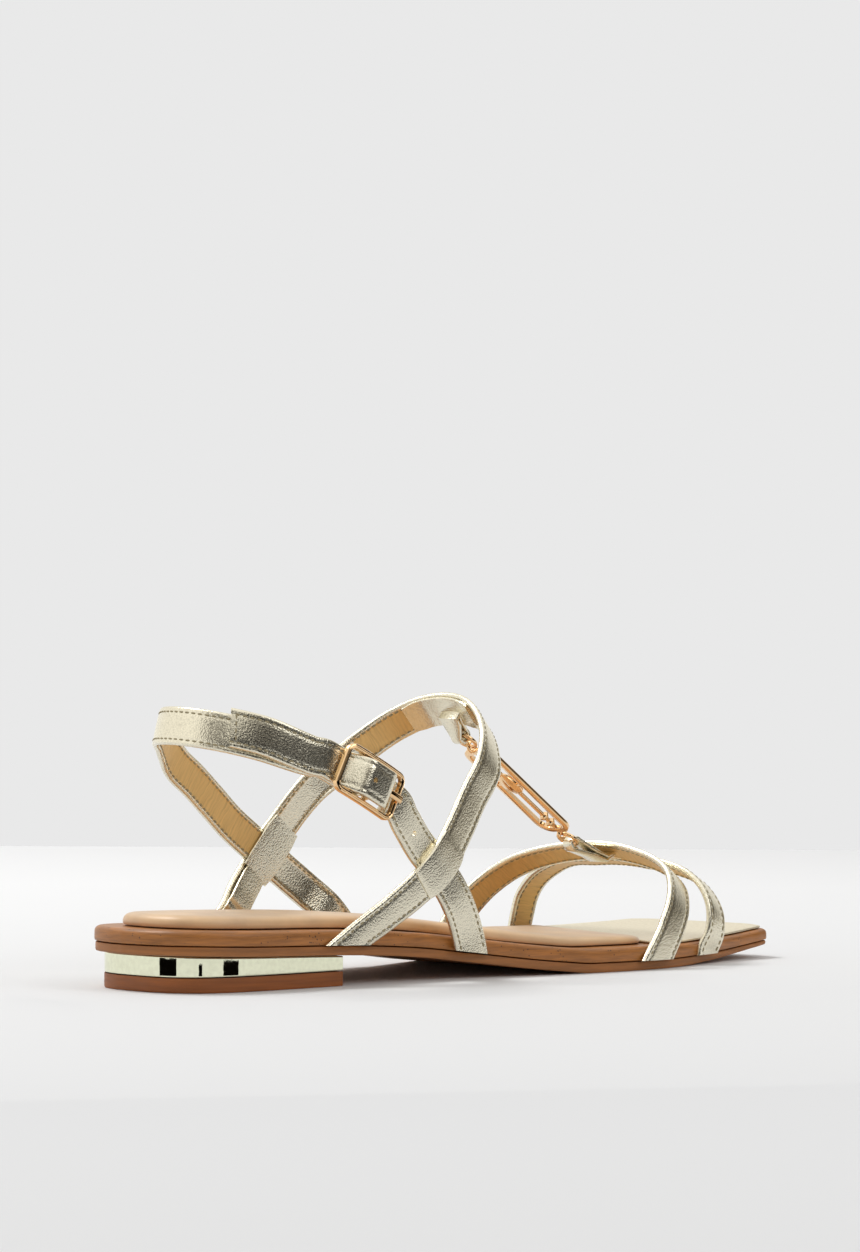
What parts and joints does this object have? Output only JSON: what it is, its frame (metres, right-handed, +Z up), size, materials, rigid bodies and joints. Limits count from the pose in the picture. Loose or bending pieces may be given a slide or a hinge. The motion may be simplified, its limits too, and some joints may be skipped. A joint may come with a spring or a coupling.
{
  "type": "gladiator sandal",
  "caption": "Flat square-toed sandal with crossing ankle straps, a side buckle, vamp straps and a linked metal ornament along the instep.",
  "frame": {"origin": "middle of the heel's resting face, on the floor", "axes": "+X runs from the heel to the toe, +Z is up, the buckle side of this right shoe is -Y"},
  "size_m": [0.2536, 0.0871, 0.0851],
  "materials": {
    "gold_leather": "metallic pale gold, pebbled",
    "pad_leather": "smooth tan",
    "rim_leather": "tan with fine pores",
    "toe_panel": "metallic pale gold, smooth",
    "outsole_rubber": "matte brown",
    "lift_rubber": "matte reddish brown",
    "pale_gold": "mirror pale gold",
    "rose_gold": "polished rose gold"
  },
  "bodies": {
    "root": {"outsole": "outsole_rubber", "midsole": "rim_leather", "insole_pad": "pad_leather", "toe_insole": "toe_panel", "heel_band": "pale_gold", "heel_top_lift": "lift_rubber", "ankle_upper": "gold_leather", "vamp_upper": "gold_leather", "buckle_frame": "rose_gold", "buckle_prong": "rose_gold", "instep_tab": "gold_leather", "vamp_tab": "gold_leather", "instep_ring": "rose_gold", "vamp_ring": "rose_gold", "ornament": "rose_gold"}
  },
  "joints": []
}
